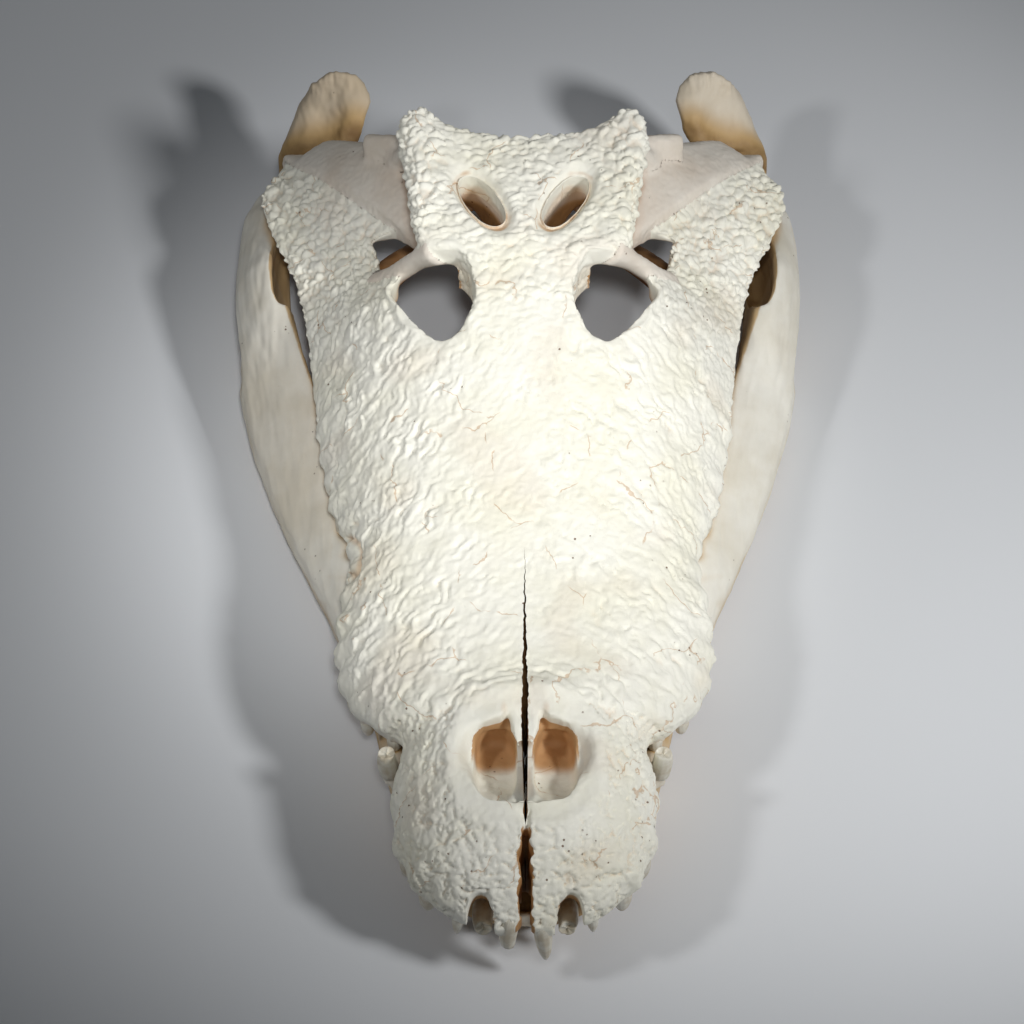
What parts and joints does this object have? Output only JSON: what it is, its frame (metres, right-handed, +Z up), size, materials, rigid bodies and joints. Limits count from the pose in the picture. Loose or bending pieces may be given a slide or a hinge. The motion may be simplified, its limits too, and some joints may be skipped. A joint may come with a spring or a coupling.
{
  "type": "crocodile skull",
  "caption": "Adult crocodile skull with the lower jaw closed, broad snout, open eye sockets and temple windows, standing on the flats of the lower jaw.",
  "frame": {"origin": "middle of the overall box at the level of the surface it stands on", "axes": "-Y along the snout towards its tip, +Y towards the back of the head, +X the animal's left side, +Z up"},
  "size_m": [0.3176, 0.5416, 0.1518],
  "materials": {
    "ivory_bone": "dry cleaned bone, matt ivory white with a rough sculptured surface",
    "smooth_bone": "dry bone, smooth, warm grey-brown in the hollows",
    "jaw_bone": "dry bone, smooth to finely grooved, tan at the rear process"
  },
  "bodies": {
    "root": {"brow": "ivory_bone", "skull_table": "ivory_bone", "braincase": "smooth_bone", "palate": "smooth_bone", "premaxilla_left": "ivory_bone", "maxilla_left": "ivory_bone", "cheek_left": "ivory_bone", "quadrate_left": "smooth_bone", "eye_bar_left": "smooth_bone", "wing_left": "smooth_bone", "dentary_left": "jaw_bone", "jaw_rear_left": "jaw_bone", "premaxilla_right": "ivory_bone", "maxilla_right": "ivory_bone", "cheek_right": "ivory_bone", "quadrate_right": "smooth_bone", "eye_bar_right": "smooth_bone", "wing_right": "smooth_bone", "dentary_right": "jaw_bone", "jaw_rear_right": "jaw_bone"}
  },
  "joints": []
}
